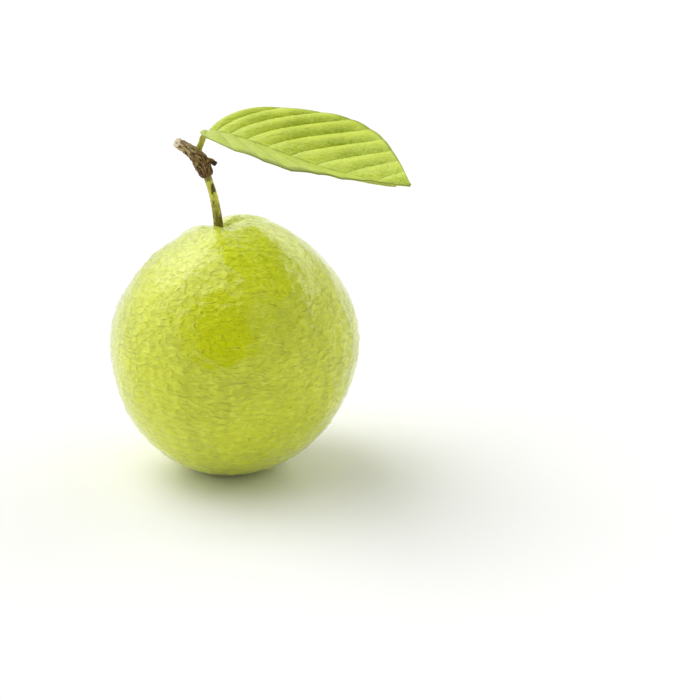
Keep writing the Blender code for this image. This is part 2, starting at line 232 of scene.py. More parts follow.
class Graph:
    """Adds nodes to one shader tree or Geometry Nodes tree."""

    def __init__(self, tree):
        self.tree = tree

    def node(self, kind, settings=None, inputs=None, output=0):
        """Adds a node: its settings, then the values or links of its sockets. Gives one output."""
        made = self.tree.nodes.new(kind)
        for name, value in (settings or {}).items():
            setattr(made, name, value)
        for key, value in (inputs or {}).items():
            if isinstance(value, Wire):
                self.tree.links.new(value.socket, made.inputs[key])
            else:
                made.inputs[key].default_value = value
        return Wire(self, made.outputs[output])

    def joined(self, operation, first, second):
        arrows = is_arrow(first), is_arrow(second)
        if not any(arrows):
            return self.maths(operation, first, second)
        if operation == "MULTIPLY" and not all(arrows):
            arrow, number = (first, second) if arrows[0] else (second, first)
            values = {0: arrow, "Scale": number}
            return self.node("ShaderNodeVectorMath", {"operation": "SCALE"}, values)
        return self.arrow(operation, first, second)

    def maths(self, operation, *values):
        return self.node("ShaderNodeMath", {"operation": operation}, dict(enumerate(values)))

    def arrow(self, operation, *values, output=0):
        settings = {"operation": operation}
        return self.node("ShaderNodeVectorMath", settings, dict(enumerate(values)), output)

    def measure(self, operation, *values):
        """A Vector Math node that gives a number, such as a length."""
        return self.arrow(operation, *values, output="Value")

    def parts(self, arrow):
        made = self.node("ShaderNodeSeparateXYZ", inputs={0: arrow})
        return made, made.out("Y"), made.out("Z")

    def combined(self, x, y, z):
        return self.node("ShaderNodeCombineXYZ", inputs={0: x, 1: y, 2: z})

    def bell(self, distance, spread):
        return self.maths("EXPONENT", 0 - (distance / spread) ** 2)

    def step(self, value, start, end, low=0.0, high=1.0):
        """A smooth change from low to high while value goes from start to end."""
        values = {0: value, 1: start, 2: end, 3: low, 4: high}
        return self.node("ShaderNodeMapRange", {"interpolation_type": "SMOOTHSTEP"}, values)

    def noise(self, place, size, detail=2.0, roughness=0.5, distortion=0.0):
        """Noise from 0 to 1 whose lumps are about this size."""
        values = {"Vector": place, "Scale": 1 / size, "Detail": detail}
        values.update({"Roughness": roughness, "Distortion": distortion})
        return self.node("ShaderNodeTexNoise", inputs=values)

    def swing(self, place, size, detail=2.0, roughness=0.5):
        """The same noise, from -1 to 1."""
        return self.noise(place, size, detail, roughness) * 2 - 1

    def cells(self, place, size, feature="F1"):
        """Distance within cells of this size: from their middle, or from their edges."""
        values = {"Vector": place, "Scale": 1 / size}
        return self.node("ShaderNodeTexVoronoi", {"feature": feature}, values, "Distance")

    def blend(self, share, first, second):
        """A colour between two: each a wire, a node's four numbers, or three display values."""
        values = {0: share, 6: first, 7: second}
        for key in (6, 7):
            if isinstance(values[key], tuple) and len(values[key]) == 3:
                values[key] = linear(*values[key])
        return self.node("ShaderNodeMix", {"data_type": "RGBA"}, values, 2)


# Geometry Nodes trees


def new_tree(name, floats, ints=()):
    """A tree with these named inputs and a material, its graph, and a wire for each input."""
    tree = bpy.data.node_groups.new(name, "GeometryNodeTree")
    kinds = {"Geometry": "Geometry", **dict.fromkeys(floats, "Float")}
    kinds.update({**dict.fromkeys(ints, "Int"), "Material": "Material"})
    for label, kind in kinds.items():
        tree.interface.new_socket(label, in_out="INPUT", socket_type="NodeSocket" + kind)
    tree.interface.new_socket("Geometry", in_out="OUTPUT", socket_type="NodeSocketGeometry")
    graph = Graph(tree)
    start = tree.nodes.new("NodeGroupInput")
    wires = {socket.name: Wire(graph, socket) for socket in start.outputs if socket.name}
    return graph, wires


def property_name(label):
    return label.lower().replace(" ", "_")


def sizes_of(settings, labels):
    """The values of these tree inputs, from the properties of the same names."""
    return {label: getattr(settings, property_name(label)) for label in labels}


def close_tree(graph, geometry, material):
    """Ends a tree: instances made real, the material set, and the result given out."""
    real = graph.node("GeometryNodeRealizeInstances", inputs={0: geometry})
    values = {"Geometry": real, "Material": material}
    finished = graph.node("GeometryNodeSetMaterial", inputs=values)
    end = graph.tree.nodes.new("NodeGroupOutput")
    graph.tree.links.new(finished.socket, end.inputs[0])


def stored(graph, geometry, name, value, kind="FLOAT"):
    """The geometry with a named value kept on each point, for its material."""
    settings = {"data_type": kind, "domain": "POINT"}
    inputs = {"Geometry": geometry, "Name": name, "Value": value}
    return graph.node("GeometryNodeStoreNamedAttribute", settings, inputs)


def moved(graph, geometry, place):
    return graph.node("GeometryNodeSetPosition", inputs={"Geometry": geometry, "Position": place})


def grown(name, graph, values, start=None):
    """The plain mesh that a tree makes with these values, from a start object or from nothing."""
    if start is None:
        start = bpy.data.objects.new(name + "_start", bpy.data.meshes.new(name + "_start"))
    bpy.context.scene.collection.objects.link(start)
    modifier = start.modifiers.new("Growth", "NODES")
    modifier.node_group = graph.tree
    for item in graph.tree.interface.items_tree:
        if item.in_out == "INPUT" and item.name in values:
            modifier[item.identifier] = values[item.name]
    seen = bpy.context.evaluated_depsgraph_get()
    mesh = bpy.data.meshes.new_from_object(start.evaluated_get(seen))
    start.modifiers.remove(modifier)
    bpy.data.objects.remove(start)
    mesh.name = name
    mesh.shade_smooth()
    piece = bpy.data.objects.new(name, mesh)
    bpy.context.scene.collection.objects.link(piece)
    if not mesh.polygons:
        raise RuntimeError(name + " came out empty")
    return piece


def path_object(name, points):
    """A smooth curve through (place in mm, radius in mm) points, to grow a tube along."""
    run = [(Vector(place) * MM, radius * MM) for place, radius in points]
    last = len(run) - 1
    fine = []
    for i in range(last):
        before, start, end, after = (run[min(max(k, 0), last)] for k in (i - 1, i, i + 1, i + 2))
        handle_1 = start[0] + (end[0] - before[0]) / 6
        handle_2 = end[0] - (after[0] - start[0]) / 6
        places = interpolate_bezier(start[0], handle_1, handle_2, end[0], PATH_STEPS + 1)
        for k, place in enumerate(places[:-1]):
            fine.append((place, start[1] + (end[1] - start[1]) * k / PATH_STEPS))
    fine.append(run[last])
    curve = bpy.data.curves.new(name, "CURVE")
    curve.dimensions = "3D"
    spline = curve.splines.new("POLY")
    spline.points.add(len(fine) - 1)
    for point, (place, radius) in zip(spline.points, fine):
        point.co = (*place, 1)
        point.radius = radius
    return bpy.data.objects.new(name, curve)


def in_one(pieces, name):
    """Several plain meshes as one object."""
    with bpy.context.temp_override(active_object=pieces[0], selected_editable_objects=pieces):
        bpy.ops.object.join()
    pieces[0].name = name
    return pieces[0]


def finished(piece, node, slot):
    """Sets a piece on the body that it rides on and hides the imported part that it stands for. The
    slot is not used.
    """
    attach(piece, BODY)
    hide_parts(node)
    return piece


# Fruit


def from_angles(azimuth, elevation):
    turn, rise = math.radians(azimuth), math.radians(elevation)
    flat = math.cos(rise)
    return Vector((flat * math.cos(turn), flat * math.sin(turn), math.sin(rise)))


def slanted(direction):
    """Where the sphere's own poles come to lie, as in the solid."""
    up_share = ((1 + direction.z) / 2) ** 2
    down_share = ((1 - direction.z) / 2) ** 2
    return (direction + STEM_SLANT * up_share + CALYX_SLANT * down_share).normalized()


STEM_DIRECTION = slanted(Vector((0, 0, 1)))
CALYX_DIRECTION = slanted(Vector((0, 0, -1)))


def fruit_direction(graph):
    """Each point's direction from the centre, with the poles moved to the stalk and the calyx."""
    x, y, z = graph.parts(graph.node("GeometryNodeInputPosition"))
    polar = graph.maths("ARCCOSINE", z)
    crowded = polar - RING_CROWDING * graph.maths("SINE", polar * 2)
    turn = graph.maths("ARCTAN2", y, x)
    ring = graph.maths("SINE", crowded)
    height = graph.maths("COSINE", crowded)
    around = graph.maths("COSINE", turn) * ring, graph.maths("SINE", turn) * ring
    spread = graph.combined(*around, height)
    up_share = ((1 + height) / 2) ** 2
    down_share = ((1 - height) / 2) ** 2
    slid = spread + up_share * STEM_SLANT + down_share * CALYX_SLANT
    return graph.arrow("NORMALIZE", slid)


def angle_from(graph, direction, other):
    return graph.maths("ARCCOSINE", graph.measure("DOT_PRODUCT", direction, other))


def furrow_depth(graph, direction, from_stem, furrows):
    """How far furrows that run down from the stalk draw the skin in."""
    along = graph.measure("DOT_PRODUCT", direction, STEM_DIRECTION)
    x, y, _ = graph.parts(direction - along * STEM_DIRECTION)
    azimuth = graph.maths("ARCTAN2", y, x) * (180 / math.pi)
    depth = 0.0
    for angle, deep, width, reach in furrows:
        turn = graph.maths("WRAP", azimuth - angle, 180.0, -180.0)
        run = from_stem / math.radians(reach)
        fall = graph.maths("EXPONENT", 1 - run * run)
        depth = graph.bell(turn, width) * run * fall * (deep * MM * 0.9) + depth
    return depth


FRUIT_SIZES = ("Waist Radius", "Pole Radius", "Centre Height", "Stem Hollow", "Stem Dip")
FRUIT_SIZES += ("Calyx Hollow", "Lump Height", "Ripple Height", "Pit Depth")


def fruit_tree():
    """A round body with swells, furrows, two hollows, a flat spot and uneven skin, by formula."""
    graph, wires = new_tree("Guava fruit", FRUIT_SIZES)
    sizes = {"Segments": FRUIT_SEGMENTS, "Rings": FRUIT_RINGS, "Radius": 1.0}
    ball = graph.node("GeometryNodeMeshUVSphere", inputs=sizes)
    direction = fruit_direction(graph)
    _, _, rise = graph.parts(direction)
    waist, pole = wires["Waist Radius"], wires["Pole Radius"]
    radius = waist + (pole - waist) * graph.maths("ABSOLUTE", rise) ** POLE_SHARPNESS
    for azimuth, elevation, height, spread in SWELLS:
        away = angle_from(graph, direction, from_angles(azimuth, elevation))
        radius = radius + graph.bell(away, math.radians(spread)) * (height * MM)
    stem_angle = angle_from(graph, direction, STEM_DIRECTION)
    from_stem = stem_angle * pole
    from_calyx = angle_from(graph, direction, CALYX_DIRECTION) * pole
    near_stem = graph.bell(from_stem, STEM_HOLLOW_REACH)
    near_calyx = graph.bell(from_calyx, CALYX_HOLLOW_REACH)
    radius = radius - near_stem * wires["Stem Hollow"]
    radius = radius - graph.bell(from_stem, STEM_DIP_REACH) * wires["Stem Dip"]
    radius = radius - near_calyx * wires["Calyx Hollow"]
    crease = furrow_depth(graph, direction, stem_angle, CREASES)
    radius = radius - furrow_depth(graph, direction, stem_angle, FURROWS) - crease
    # a puckered ring of skin round the stalk
    radius = radius + graph.bell(from_stem - 2.9 * MM, 0.9 * MM) * (0.35 * MM)
    place = direction * waist
    calm = 1 - graph.maths("MINIMUM", near_stem + near_calyx, 1.0)
    lumps = graph.swing(place, 17 * MM, 0.0) + graph.swing(place, 8 * MM, 0.0) * 0.45
    radius = radius + lumps * wires["Lump Height"] * calm
    across = place * Vector((1, 1, 2.4))
    ripples = graph.swing(across, 6 * MM, 1.0) + graph.swing(across, 3.6 * MM, 1.0) * 0.9
    busy = graph.step(graph.noise(place, 26 * MM, 1.0), 0.35, 0.65, 0.55, 1.0)
    ripples = ripples * busy
    radius = radius + ripples * wires["Ripple Height"]
    radius = radius + graph.swing(place, 1.5 * MM, 1.0) * wires["Pit Depth"]
    skin = direction * radius + graph.combined(0.0, 0.0, wires["Centre Height"])
    x, y, z = graph.parts(skin)
    # the flat spot, with a soft rim
    seated = graph.maths("SMOOTH_MAX", z, 0.0, 0.4 * MM)
    body = moved(graph, ball, graph.combined(x, y, seated))
    body = stored(graph, body, "ripples", ripples)
    body = stored(graph, body, "crease", crease)
    body = stored(graph, body, "from_stem", from_stem)
    body = stored(graph, body, "from_calyx", from_calyx)
    close_tree(graph, body, wires["Material"])
    return graph


# Calyx


def drawn(graph, low, high, index, seed):
    """A number drawn at random for each index, between low and high."""
    values = {2: low, 3: high, "ID": index, "Seed": seed}
    return graph.node("FunctionNodeRandomValue", {"data_type": "FLOAT"}, values, 1)


def sepal_tree():
    """Five dried sepals round the blossom end, each a little different."""
    graph, wires = new_tree("Guava calyx", ("Reach", "Hollow", "Curl"), ("Sepals", "Seed"))
    grid = {"Size X": 1.0, "Size Y": 2.0, "Vertices X": 34, "Vertices Y": 25}
    sheet = graph.node("GeometryNodeMeshGrid", inputs=grid)
    x, side, _ = graph.parts(graph.node("GeometryNodeInputPosition"))
    run = x + 0.5
    reach = wires["Reach"]
    distance = reach * (0.3 + run * 0.7)
    width = reach * (0.34 * (1 - run**2.2) + 0.03)
    cupped = (side * side - 0.4) * 0.5 * MM * (1 - run)
    wrinkle = graph.maths("SINE", side * 9 + run * 4) * 0.1 * MM
    crinkle = graph.swing(graph.combined(run * 5, side * 2, 0.0), 1.0, 2.0) * 0.45 * MM * run
    curl = wires["Curl"] * run**1.6
    lift = cupped + wrinkle + crinkle + curl
    sheet = moved(graph, sheet, graph.combined(distance, side * width, lift))
    middle = {"Vertices": wires["Sepals"], "Radius": 0.0001}
    ring = graph.node("GeometryNodeMeshCircle", inputs=middle)
    index = graph.node("GeometryNodeInputIndex")
    turn = index * (2 * math.pi / SEPALS) + drawn(graph, -0.14, 0.14, index, wires["Seed"])
    size = drawn(graph, 0.88, 1.1, index, wires["Seed"] + 7)
    rotation = graph.node("FunctionNodeEulerToRotation", inputs={0: graph.combined(0.0, 0.0, turn)})
    copies = {"Points": ring, "Instance": sheet, "Rotation": rotation}
    copies["Scale"] = graph.combined(size, size, 1.0)
    sepals = graph.node("GeometryNodeInstanceOnPoints", inputs=copies)
    real = graph.node("GeometryNodeRealizeInstances", inputs={0: sepals})
    # every sepal then lies over the hollow's own curve
    here = graph.node("GeometryNodeInputPosition")
    px, py, pz = graph.parts(here)
    away = graph.measure("LENGTH", graph.combined(px, py, 0.0))
    basin = wires["Hollow"] * (1 - graph.bell(away, CALYX_HOLLOW_REACH))
    basin = basin - away * away * (0.5 / (50 * MM))
    laid = moved(graph, real, graph.combined(px, py, pz + basin + 0.75 * MM))
    close_tree(graph, laid, wires["Material"])
    return graph


# Stalk, twig and rib


TUBE_SIZES = ("Step", "Ridge Height", "Ring Height", "Ring Spacing")
TUBE_SIZES += ("Roughness Height", "Roughness Size")
TUBE_COUNTS = ("Sides", "Ridges")


def tube_tree():
    """A tube along a path, with ridges, rings and rough bark. Its grain is kept on it."""
    graph, wires = new_tree("Guava stem", TUBE_SIZES, TUBE_COUNTS)
    spaced = {"Curve": wires["Geometry"], "Length": wires["Step"]}
    path = graph.node("GeometryNodeResampleCurve", {"mode": "LENGTH"}, spaced)
    length = graph.node("GeometryNodeSplineParameter", output="Length")
    radius = graph.node("GeometryNodeInputRadius")
    path = stored(graph, path, "along", length)
    path = stored(graph, path, "thickness", radius)
    circle = {"Resolution": wires["Sides"], "Radius": 1.0}
    profile = graph.node("GeometryNodeCurvePrimitiveCircle", inputs=circle)
    turn = graph.node("GeometryNodeSplineParameter") * (2 * math.pi)
    profile = stored(graph, profile, "turn_x", graph.maths("COSINE", turn))
    profile = stored(graph, profile, "turn_y", graph.maths("SINE", turn))
    swept = {"Curve": path, "Profile Curve": profile, "Scale": radius, "Fill Caps": True}
    tube = graph.node("GeometryNodeCurveToMesh", inputs=swept)

    def kept(name, kind="FLOAT"):
        return graph.node("GeometryNodeInputNamedAttribute", {"data_type": kind}, {"Name": name})

    along, thickness = kept("along"), kept("thickness")
    turn_x, turn_y = kept("turn_x"), kept("turn_y")
    grain = graph.combined(turn_x * thickness, turn_y * thickness, along)
    tube = stored(graph, tube, "grain", grain, "FLOAT_VECTOR")
    grain = kept("grain", "FLOAT_VECTOR")
    gx, gy, gz = graph.parts(grain)
    turn = graph.maths("ARCTAN2", gy, gx)
    wander = graph.swing(graph.combined(0.0, 0.0, gz), 3 * MM, 0.0)
    ridge = graph.maths("COSINE", turn * wires["Ridges"] + wander) * wires["Ridge Height"]
    beat = gz / wires["Ring Spacing"] + graph.swing(grain, 4 * MM, 0.0) * 0.35
    ring = graph.maths("POWER", graph.maths("ABSOLUTE", graph.maths("SINE", beat * math.pi)), 6.0)
    long_grain = graph.combined(gx, gy, gz * 0.3)
    rough = graph.swing(long_grain, wires["Roughness Size"], 3.0, 0.6) * wires["Roughness Height"]
    relief = ridge + ring * wires["Ring Height"] + rough
    normal = graph.node("GeometryNodeInputNormal")
    place = graph.node("GeometryNodeInputPosition")
    tube = moved(graph, tube, place + normal * relief)
    close_tree(graph, tube, wires["Material"])
    return graph


def stem(name, points, material, **sizes):
    """A tube of this material through the points. Each size is named as the tree's input."""
    labels = {property_name(label): label for label in (*TUBE_SIZES, *TUBE_COUNTS)}
    values = {labels[key]: value for key, value in sizes.items()}
    return grown(name, tube_tree(), {**values, "Material": material}, path_object(name, points))


# Leaf


def rib_run():
    """Places along the rib at equal steps of its length, in Python, for the rib under the blade."""
    ends = RIB_BASE, RIB_BASE_HANDLE, RIB_TIP_HANDLE, RIB_TIP
    fine = interpolate_bezier(*ends, 10 * (RIB_STEPS + 1))
    run = [0.0]
    for a, b in zip(fine, fine[1:]):
        run.append(run[-1] + (b - a).length)
    places, spot = [], 0
    for k in range(RIB_STEPS + 1):
        wanted = run[-1] * k / RIB_STEPS
        while spot < len(run) - 2 and run[spot + 1] < wanted:
            spot += 1
        share = (wanted - run[spot]) / (run[spot + 1] - run[spot])
        places.append(fine[spot].lerp(fine[spot + 1], share))
    return places


def rib_and_petiole_points():
    """The leaf's stalk and the rib under its blade, as one run of points for a tube."""
    places = rib_run()
    points = list(PETIOLE_POINTS)
    for share in RIB_SHARES:
        k = round(share * RIB_STEPS)
        forward = (places[min(k + 2, RIB_STEPS)] - places[max(k - 2, 0)]).normalized()
        near = forward.cross(Vector((0, 0, 1))).normalized()
        radius = RIB_RADIUS + (RIB_TIP_RADIUS - RIB_RADIUS) * share
        place = places[k] - near.cross(forward) * (radius - RIB_TOP)
        points.append((tuple(place / MM), radius / MM))
    return points


LEAF_SIZES = ("Half Width", "Fold", "Quilt Height", "Net Height")
LEAF_COUNTS = ("Vein Pairs",)


def half_width(graph, share, widest):
    """The blade's half width at this share of its length."""
    toward = 1 - share / LEAF_WIDEST_AT
    inner = graph.maths("SQRT", graph.maths("MAXIMUM", 1 - toward * toward, 0.0))
    beyond = graph.maths("MAXIMUM", (share - LEAF_WIDEST_AT) / (1 - LEAF_WIDEST_AT), 0.0)
    outer = graph.maths("MAXIMUM", 1 - beyond**LEAF_TIP_SHAPE, 0.0)
    is_outer = graph.maths("GREATER_THAN", share, LEAF_WIDEST_AT)
    shape = inner + (outer - inner) * is_outer
    least = LEAF_BASE_HALF_WIDTH + is_outer * (LEAF_TIP_HALF_WIDTH - LEAF_BASE_HALF_WIDTH)
    return least + (widest - least) * shape


def blade_formula(graph, wires, row, across):
    """Where the blade's surface is.

    row is the place along the veins, 0 to 1. across is the share of the width, -1 near to 1 far.
    """
    start = row**VEIN_CROWDING
    swept = graph.maths("SINE", (start**VEIN_SWEEP_SKEW) * math.pi) * VEIN_SWEEP
    reach = graph.maths("MINIMUM", start + graph.maths("MAXIMUM", swept, 0.0), 1.0)
    out = graph.maths("ABSOLUTE", across)
    far = graph.maths("GREATER_THAN", across, 0.0)
    along = start + (reach - start) * out**VEIN_CURVE
    width = half_width(graph, reach, wires["Half Width"])
    ends = {"Start": RIB_BASE, "Start Handle": RIB_BASE_HANDLE, "End": RIB_TIP}
    ends.update({"End Handle": RIB_TIP_HANDLE, "Resolution": 200})
    rib = graph.node("GeometryNodeCurvePrimitiveBezierSegment", inputs=ends)
    values = {"Curves": rib, "Factor": along}
    sampled = graph.node("GeometryNodeSampleCurve", {"mode": "FACTOR"}, values, "Position")
    forward = graph.arrow("NORMALIZE", sampled.out("Tangent"))
    near = graph.arrow("NORMALIZE", graph.arrow("CROSS_PRODUCT", forward, Vector((0, 0, 1))))
    up = graph.arrow("CROSS_PRODUCT", near, forward)
    side = 1 - far * 2
    rise = wires["Fold"] + along * along * LEAF_TIP_FOLD - side * LEAF_ROLL
    away = near * side
    over = away * graph.maths("COSINE", rise) + up * graph.maths("SINE", rise)
    normal = up * graph.maths("COSINE", rise) - away * graph.maths("SINE", rise)
    beat = row * wires["Vein Pairs"] + (1 - far) * 0.5
    between = graph.maths("ABSOLUTE", graph.maths("SINE", beat * math.pi))
    fullness = width / wires["Half Width"]
    fade = graph.maths("SINE", (out * 0.8 + 0.1) * math.pi)
    fade = fade * graph.maths("MINIMUM", fullness + 0.1, 1.0)
    quilt = (between**0.8 - 0.6) * fade * wires["Quilt Height"]
    wave = graph.maths("SINE", (beat / 2.5 + 0.2) * (2 * math.pi)) * out**3 * fullness * EDGE_WAVE
    bow = width * out * (1 - out) * (LEAF_ARCH * 2)
    flat_map = graph.combined(along * LEAF_MAP_LENGTH, side * out * width, 0.0)
    # finer veins that cross from one side vein to the next, and the small net between them
    crossing = graph.combined(beat * 2.2, out * 22, far * 5)
    net = graph.maths("MINIMUM", graph.cells(crossing, 1.0, "DISTANCE_TO_EDGE"), 0.35)
    fine_net = graph.maths("MINIMUM", graph.cells(flat_map, 1.7 * MM, "DISTANCE_TO_EDGE"), 0.3)
    pucker = (net - 0.2) * 1.5 + (fine_net - 0.15) * 0.6
    pucker = pucker * wires["Net Height"] * graph.step(out, 0.0, 0.1) * graph.step(out, 1.0, 0.93)
    place = sampled + over * (width * out) + normal * (quilt + wave + bow + pucker)
    looks = {"between": between, "phase": graph.maths("FRACT", beat), "far": far, "out": out}
    looks.update({"width": width, "net": net, "map": flat_map})
    return place, normal, looks


def blade_tree():
    """The blade's upper surface, from a grid whose rows follow the side veins."""
    graph, wires = new_tree("Guava leaf blade", LEAF_SIZES, LEAF_COUNTS)
    grid = {"Size X": 1.0, "Size Y": 2.0, "Vertices X": LEAF_ROWS, "Vertices Y": LEAF_COLUMNS + 1}
    sheet = graph.node("GeometryNodeMeshGrid", inputs=grid)
    x, across, _ = graph.parts(graph.node("GeometryNodeInputPosition"))
    place, _, looks = blade_formula(graph, wires, x + 0.5, across)
    for name, value in looks.items():
        kind = "FLOAT_VECTOR" if name == "map" else "FLOAT"
        sheet = stored(graph, sheet, "leaf_" + name, value, kind)
    sheet = moved(graph, sheet, place)
    close_tree(graph, sheet, wires["Material"])
    return graph


def vein_tree():
    """The raised side veins under the blade: a tube along every vein of the same surface."""
    sizes = (*LEAF_SIZES, "Vein Radius", "Drop")
    graph, wires = new_tree("Guava leaf veins", sizes, LEAF_COUNTS)
    veins = []
    for side in (1, -1):
        grid = {"Size X": 1.0, "Size Y": 1.0}
        grid.update({"Vertices X": VEIN_PAIRS, "Vertices Y": VEIN_POINTS})
        sheet = graph.node("GeometryNodeMeshGrid", inputs=grid)
        x, y, _ = graph.parts(graph.node("GeometryNodeInputPosition"))
        # rows 0.5 to 8.5 on the near side and 1 to 9 on the far one, where the blade dips
        beat = (x + 0.5) * (VEIN_PAIRS - 1) + (0.5 if side < 0 else 0.97)
        row = beat / VEIN_PAIRS
        across = (y * 0.93 + 0.5) * side
        place, normal, _ = blade_formula(graph, wires, row, across)
        shrunk = moved(graph, sheet, place - normal * wires["Drop"])
        index = graph.node("GeometryNodeInputMeshEdgeVertices")
        first, second = index.out("Vertex Index 1"), index.out("Vertex Index 2")
        # an edge belongs to a vein where both its ends are in one row of the grid
        rows = [graph.maths("FLOOR", end / VEIN_POINTS + 0.0001) for end in (first, second)]
        same = graph.maths("LESS_THAN", graph.maths("ABSOLUTE", rows[0] - rows[1]), 0.5)
        lines = graph.node("GeometryNodeMeshToCurve", inputs={"Mesh": shrunk, "Selection": same})
        run = graph.node("GeometryNodeSplineParameter")
        radius = wires["Vein Radius"] * (1 - run * 0.75)
        round_form = {"Resolution": 8, "Radius": 1.0}
        circle = graph.node("GeometryNodeCurvePrimitiveCircle", inputs=round_form)
        swept = {"Curve": lines, "Profile Curve": circle, "Scale": radius, "Fill Caps": True}
        veins.append(graph.node("GeometryNodeCurveToMesh", inputs=swept))
    both = graph.node("GeometryNodeJoinGeometry", inputs={0: veins[0]})
    graph.tree.links.new(veins[1].socket, both.socket.node.inputs[0])
    close_tree(graph, both, wires["Material"])
    return graph


# Materials


def new_material(name, roughness, coat=0.0, coat_roughness=0.2, specular=0.5):
    """A material, its graph and its shader's inputs, with what is the same all over set."""
    material = bpy.data.materials.new(name)
    material.use_nodes = True
    shader = material.node_tree.nodes["Principled BSDF"]
    shader.inputs["Roughness"].default_value = roughness
    shader.inputs["Coat Weight"].default_value = coat
    shader.inputs["Coat Roughness"].default_value = coat_roughness
    shader.inputs["Specular IOR Level"].default_value = specular
    return material, Graph(material.node_tree), shader.inputs


def feed(graph, sockets, name, wire):
    graph.tree.links.new(wire.socket, sockets[name])


def bumped(graph, height, distance):
    return graph.node("ShaderNodeBump", inputs={"Height": height, "Distance": distance})


def attribute(graph, name, output="Fac"):
    return graph.node("ShaderNodeAttribute", {"attribute_name": name}, output=output)


def layered(graph, base, layers):
    """The base colour with others laid over it in turn, each by its share."""
    colour = base
    for share, other in layers:
        colour = graph.blend(share, colour, other)
    return colour


def object_place(graph):
    return graph.node("ShaderNodeTexCoord", output="Object")


def own_colours(settings, *names):
    return [tuple(getattr(settings, name + "_colour")) for name in names]


def skin_material(settings):
    """Waxy yellow-green skin: patches, mottles, pores, a greener hollow and a few brown flecks,
    with painted light, shade and reflection over them.
    """
    material, graph, sockets = new_material("guava_skin", 0.42, 1.0, 0.14, specular=0.12)
    step, blend, noise, cells = graph.step, graph.blend, graph.noise, graph.cells
    place = object_place(graph)
    deep, body, pale = own_colours(settings, "deep", "body", "pale")
    patches = noise(place, 20 * MM, 2.0, 0.55)
    mottles = noise(place, 4.2 * MM, 3.0, 0.6)
    flecks = noise(place, 1.3 * MM, 2.0, 0.6)
    base = blend(step(patches, 0.38, 0.66) * 0.3 + 0.5, deep, body)
    wrinkles = noise(place * Vector((1, 1, 1.9)), 2.8 * MM, 1.0, 0.5, 0.6)
    crests = attribute(graph, "ripples") * 0.35 + wrinkles
    pores = cells(place, 2.6 * MM)
    dots = step(pores, 0.22, 0.08) * 0.1
    from_stem, from_calyx = attribute(graph, "from_stem"), attribute(graph, "from_calyx")
    _, behind, height = graph.parts(place)
    # painted shade: the side that turns away from the leaf's tip, where the brightest light falls,
    # is painted duller and darker
    away = graph.measure("DOT_PRODUCT", place, Vector((-0.6, 0.75, 0.3)))
    soft = step(away, 18 * MM, 44 * MM)
    # painted reflection: the front, which mirrors the dark room, is painted a smoother, stronger
    # green, with a ragged border
    apart = graph.measure("DISTANCE", place, DARK_REFLECTION_PLACE)
    ragged = apart + (0.5 - patches) * (24 * MM) + (0.5 - mottles) * (22 * MM)
    painted_dark_reflection = step(ragged, 19 * MM, 5 * MM)
    # painted reflection: the far top of the skin, seen edge-on, is painted pale and whitish
    painted_far_reflection = step(behind, 0.0, 9 * MM) * step(height, 82 * MM, 93 * MM)
    # painted shade: the fine creases round the stalk are darkened
    crease = step(attribute(graph, "crease"), 0.15 * MM, 0.7 * MM)
    russet = (132, 112, 50)
    rim = step(from_stem, 4.2 * MM, 2.4 * MM) * step(flecks, 0.35, 0.6)
    scar = step(from_calyx, 8.5 * MM, 4.5 * MM) * step(mottles, 0.35, 0.62)
    specks = cells(place, 7.5 * MM)
    layers = (
        (step(mottles, 0.42, 0.72) * 0.3, pale),
        # painted shade in the ripples' hollows, and painted highlight on their crests
        (step(crests, 0.48, 0.18) * 0.65, deep),
        (step(crests, 0.5, 0.76) * 0.8, pale),
        (dots, (222, 226, 90)),
        # painted light: the upper skin paler
        (step(height, 58 * MM, 84 * MM) * 0.3, pale),
        (soft * 0.6, (184, 194, 94)),
        (painted_dark_reflection * 0.75, (211, 222, 0)),
        (painted_far_reflection * 0.6, (228, 236, 140)),
        (step(from_stem, 15 * MM, 4 * MM) * 0.45, (172, 190, 60)),
        (crease * 0.6, (138, 152, 26)),
        (rim * 0.8, russet),
        (scar * 0.7, russet),
        (step(specks, 0.055, 0.03) * 0.55, (120, 108, 40)),
    )
    feed(graph, sockets, "Base Color", layered(graph, base, layers))
    feed(graph, sockets, "Roughness", step(mottles, 0.3, 0.7, 0.3, 0.46))
    sockets["Coat IOR"].default_value = 1.52
    sockets["Sheen Weight"].default_value = 0.15
    sockets["Sheen Roughness"].default_value = 0.3
    fine = noise(place, 1.1 * MM, 1.0)
    normal = bumped(graph, fine * 0.3 + wrinkles * 3.8 - dots * 0.3, 0.4 * MM)
    feed(graph, sockets, "Normal", normal)
    return material


def sepal_material():
    """Dry, cracked brown sepals, greyer at their edges."""
    material, graph, sockets = new_material("dried_sepals", 0.82, specular=0.25)
    step, blend, noise = graph.step, graph.blend, graph.noise
    place = object_place(graph)
    cloud = noise(place, 2.2 * MM, 3.0, 0.6)
    streaks = noise(place, 0.6 * MM, 3.0, 0.65)
    base = blend(step(cloud, 0.35, 0.65), (70, 48, 30), (128, 98, 62))
    colour = blend(step(streaks, 0.5, 0.75) * 0.6, base, (168, 142, 100))
    feed(graph, sockets, "Base Color", colour)
    feed(graph, sockets, "Normal", bumped(graph, streaks + cloud, 0.12 * MM))
    return material


